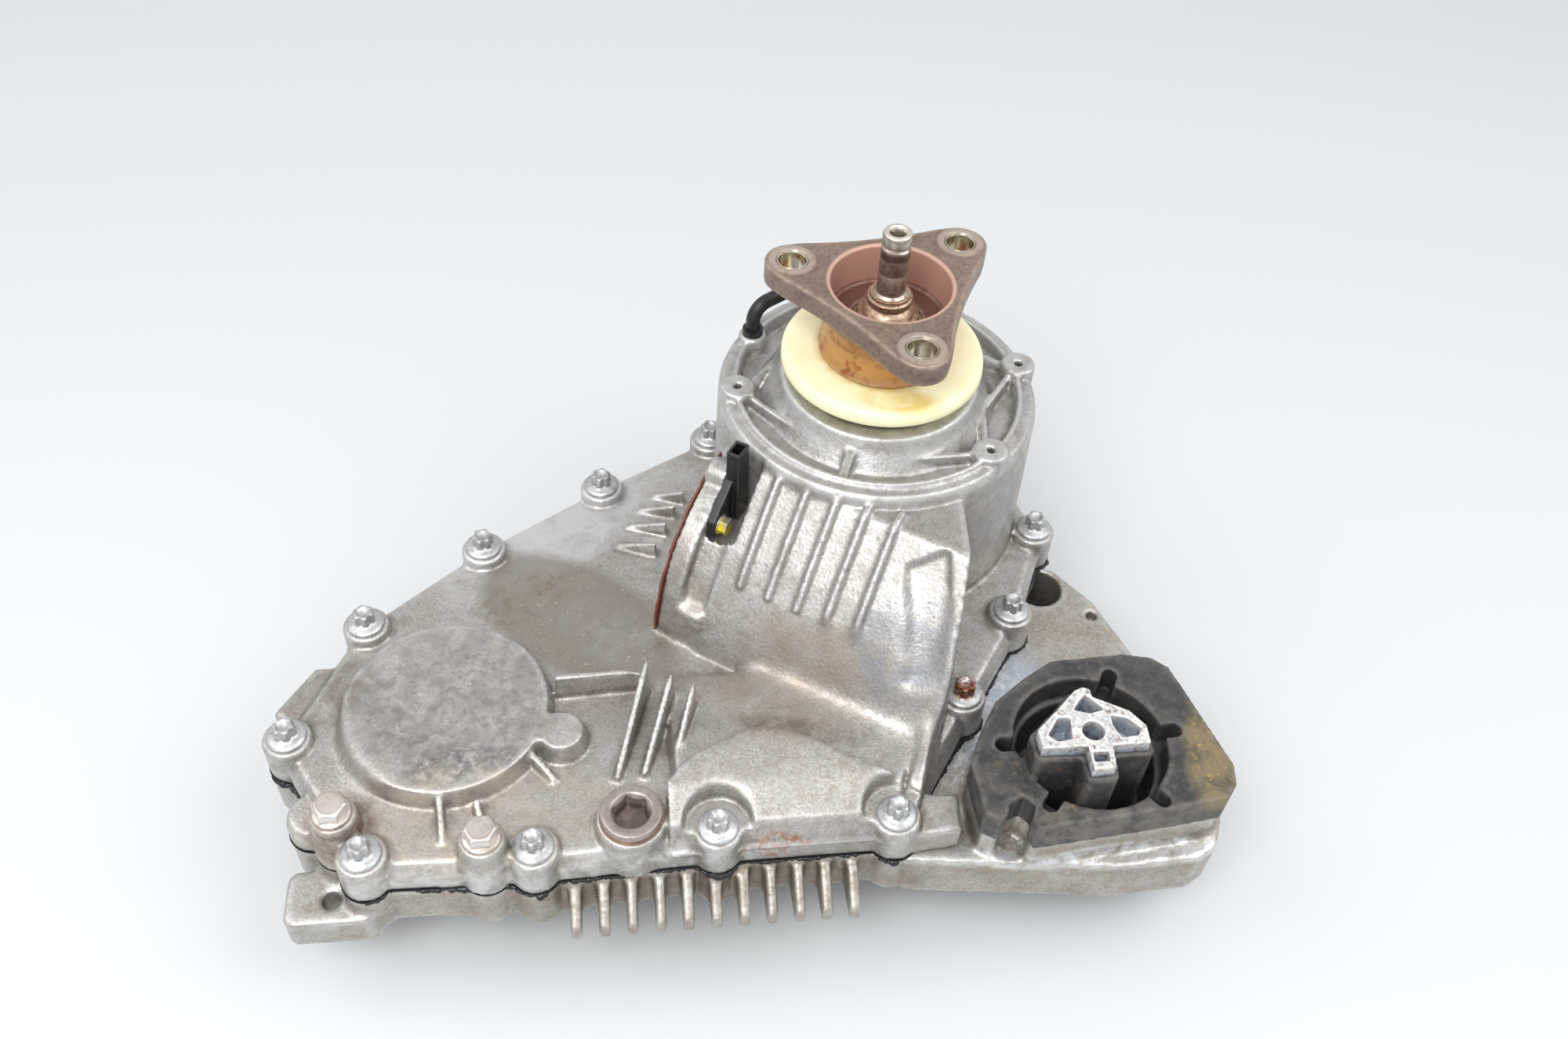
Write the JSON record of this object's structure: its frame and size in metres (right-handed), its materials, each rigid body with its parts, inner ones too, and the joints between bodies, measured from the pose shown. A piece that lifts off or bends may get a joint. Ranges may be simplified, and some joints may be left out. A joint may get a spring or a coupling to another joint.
{
  "type": "transfer case",
  "caption": "Chain-driven transfer case with a finned two-part casting, three-arm output flange, actuator housing and a bonded rubber mount on its arm.",
  "frame": {"origin": "on the main shaft's axis, in the face that bolts to the gearbox", "axes": "+Z along the main shaft towards the output flange, +X along the finned front wall"},
  "size_m": [0.435, 0.3392, 0.253],
  "materials": {
    "casting": "cast, satin, lightly oxidised",
    "sealant": "thin black bead",
    "seal_compound": "red-brown sealing line",
    "zinc_bolt": "zinc plated",
    "hex_bolt": "zinc plated, golden tint",
    "plug_metal": "turned",
    "copper_washer": "soft washer",
    "mount_rubber": "charcoal, dusty",
    "mount_aluminium": "cast, white oxide",
    "black_plastic": "moulded",
    "screw_steel": "plain",
    "flange_steel": "forged, thin rust",
    "shaft_steel": "ground",
    "nut_steel": "light rust",
    "cream_plastic": "pale yellow, moulded",
    "bearing_steel": "polished",
    "seal_rubber": "dark brown",
    "chain_steel": "oiled",
    "gear_steel": "machined",
    "friction_lining": "paper lining",
    "spring_steel": "plain"
  },
  "bodies": {
    "case": {"rear_case": "casting", "front_case": "casting", "case_sealant": "sealant", "actuator_face_seal": "seal_compound", "case_bolts": "zinc_bolt", "hex_bolts": "hex_bolt", "oil_plug": "plug_metal", "plug_seal_ring": "copper_washer", "rubber_mount": "mount_rubber", "mount_core": "mount_aluminium", "breather_pipe": "black_plastic", "coding_plug": "black_plastic", "plug_screw": "screw_steel", "dowel_sleeves": "gear_steel", "main_front_bearing_outer": "bearing_steel", "main_rear_bearing_outer": "bearing_steel", "output_front_bearing_outer": "bearing_steel", "output_rear_bearing": "bearing_steel", "bearing_retaining_rings": "spring_steel", "front_shaft_seal": "seal_rubber", "output_shaft_seal": "seal_rubber", "rear_shaft_seal": "seal_rubber", "back_bearing": "bearing_steel", "cam_bushes": "bearing_steel", "chain": "chain_steel"},
    "main_shaft": {"main_shaft": "shaft_steel", "output_flange": "flange_steel", "flange_bushes": "bearing_steel", "collar_nut": "nut_steel", "dust_cover": "cream_plastic", "clutch_hub": "gear_steel", "friction_plates": "friction_lining", "main_front_bearing_inner": "bearing_steel", "main_rear_bearing_inner": "bearing_steel", "needle_bearing": "bearing_steel", "support_washer": "gear_steel"},
    "front_output": {"front_output_shaft": "shaft_steel", "driven_sprocket": "gear_steel", "output_front_bearing_inner": "bearing_steel"},
    "drum": {"drive_sprocket": "gear_steel", "clutch_drum": "gear_steel", "steel_plates": "gear_steel"},
    "pressure": {"pressure_plate": "gear_steel", "return_spring": "spring_steel"},
    "apply": {"apply_bearing": "bearing_steel"},
    "lever_a": {"lever_a": "gear_steel", "roller_a": "bearing_steel"},
    "lever_b": {"lever_b": "gear_steel", "roller_b": "bearing_steel"},
    "balls": {"ramp_balls": "bearing_steel"},
    "cam": {"cam_shaft": "shaft_steel", "cam_disc": "gear_steel"}
  },
  "joints": [
    {"name": "main_shaft_spin", "type": "hinge", "parent": "case", "child": "main_shaft", "pos_m": [0, 0, 0.1], "axis": [0, 0, 1], "continuous": true},
    {"name": "front_output_spin", "type": "hinge", "parent": "case", "child": "front_output", "pos_m": [-0.21228, -0.12755, 0.02], "axis": [0, 0, 1], "continuous": true, "deforming": ["chain"]},
    {"name": "drum_spin", "type": "hinge", "parent": "case", "child": "drum", "pos_m": [0, 0, 0.06], "axis": [0, 0, 1], "continuous": true},
    {"name": "pressure_slide", "type": "slide", "parent": "drum", "child": "pressure", "axis": [0, 0, -1], "range_m": [0, 0.0017], "deforming": ["return_spring"]},
    {"name": "apply_slide", "type": "slide", "parent": "case", "child": "apply", "axis": [0, 0, -1], "range_m": [0, 0.0017]},
    {"name": "lever_a_swing", "type": "hinge", "parent": "apply", "child": "lever_a", "pos_m": [0, 0, 0.116], "axis": [0, 0, 1], "range_deg": [-5.7, 0]},
    {"name": "lever_b_swing", "type": "hinge", "parent": "case", "child": "lever_b", "pos_m": [0, 0, 0.128], "axis": [0, 0, 1], "range_deg": [0, 5.8]},
    {"name": "ball_slide", "type": "slide", "parent": "case", "child": "balls", "axis": [0, 0, -1], "range_m": [0, 0.00085]},
    {"name": "cam_spin", "type": "hinge", "parent": "case", "child": "cam", "pos_m": [-0.04521, -0.06961, 0.104], "axis": [0.8387, -0.5446, 0], "range_deg": [0, 240]}
  ],
  "couplings": [
    {"joint": "drum_spin", "follows": "front_output_spin", "ratio": 1},
    {"joint": "pressure_slide", "follows": "cam_spin", "m_per_rad": 0.00040581},
    {"joint": "apply_slide", "follows": "cam_spin", "m_per_rad": 0.00040581},
    {"joint": "ball_slide", "follows": "cam_spin", "m_per_rad": 0.0002029},
    {"joint": "lever_a_swing", "follows": "cam_spin", "ratio": -0.023083},
    {"joint": "lever_b_swing", "follows": "cam_spin", "ratio": 0.023388}
  ]
}
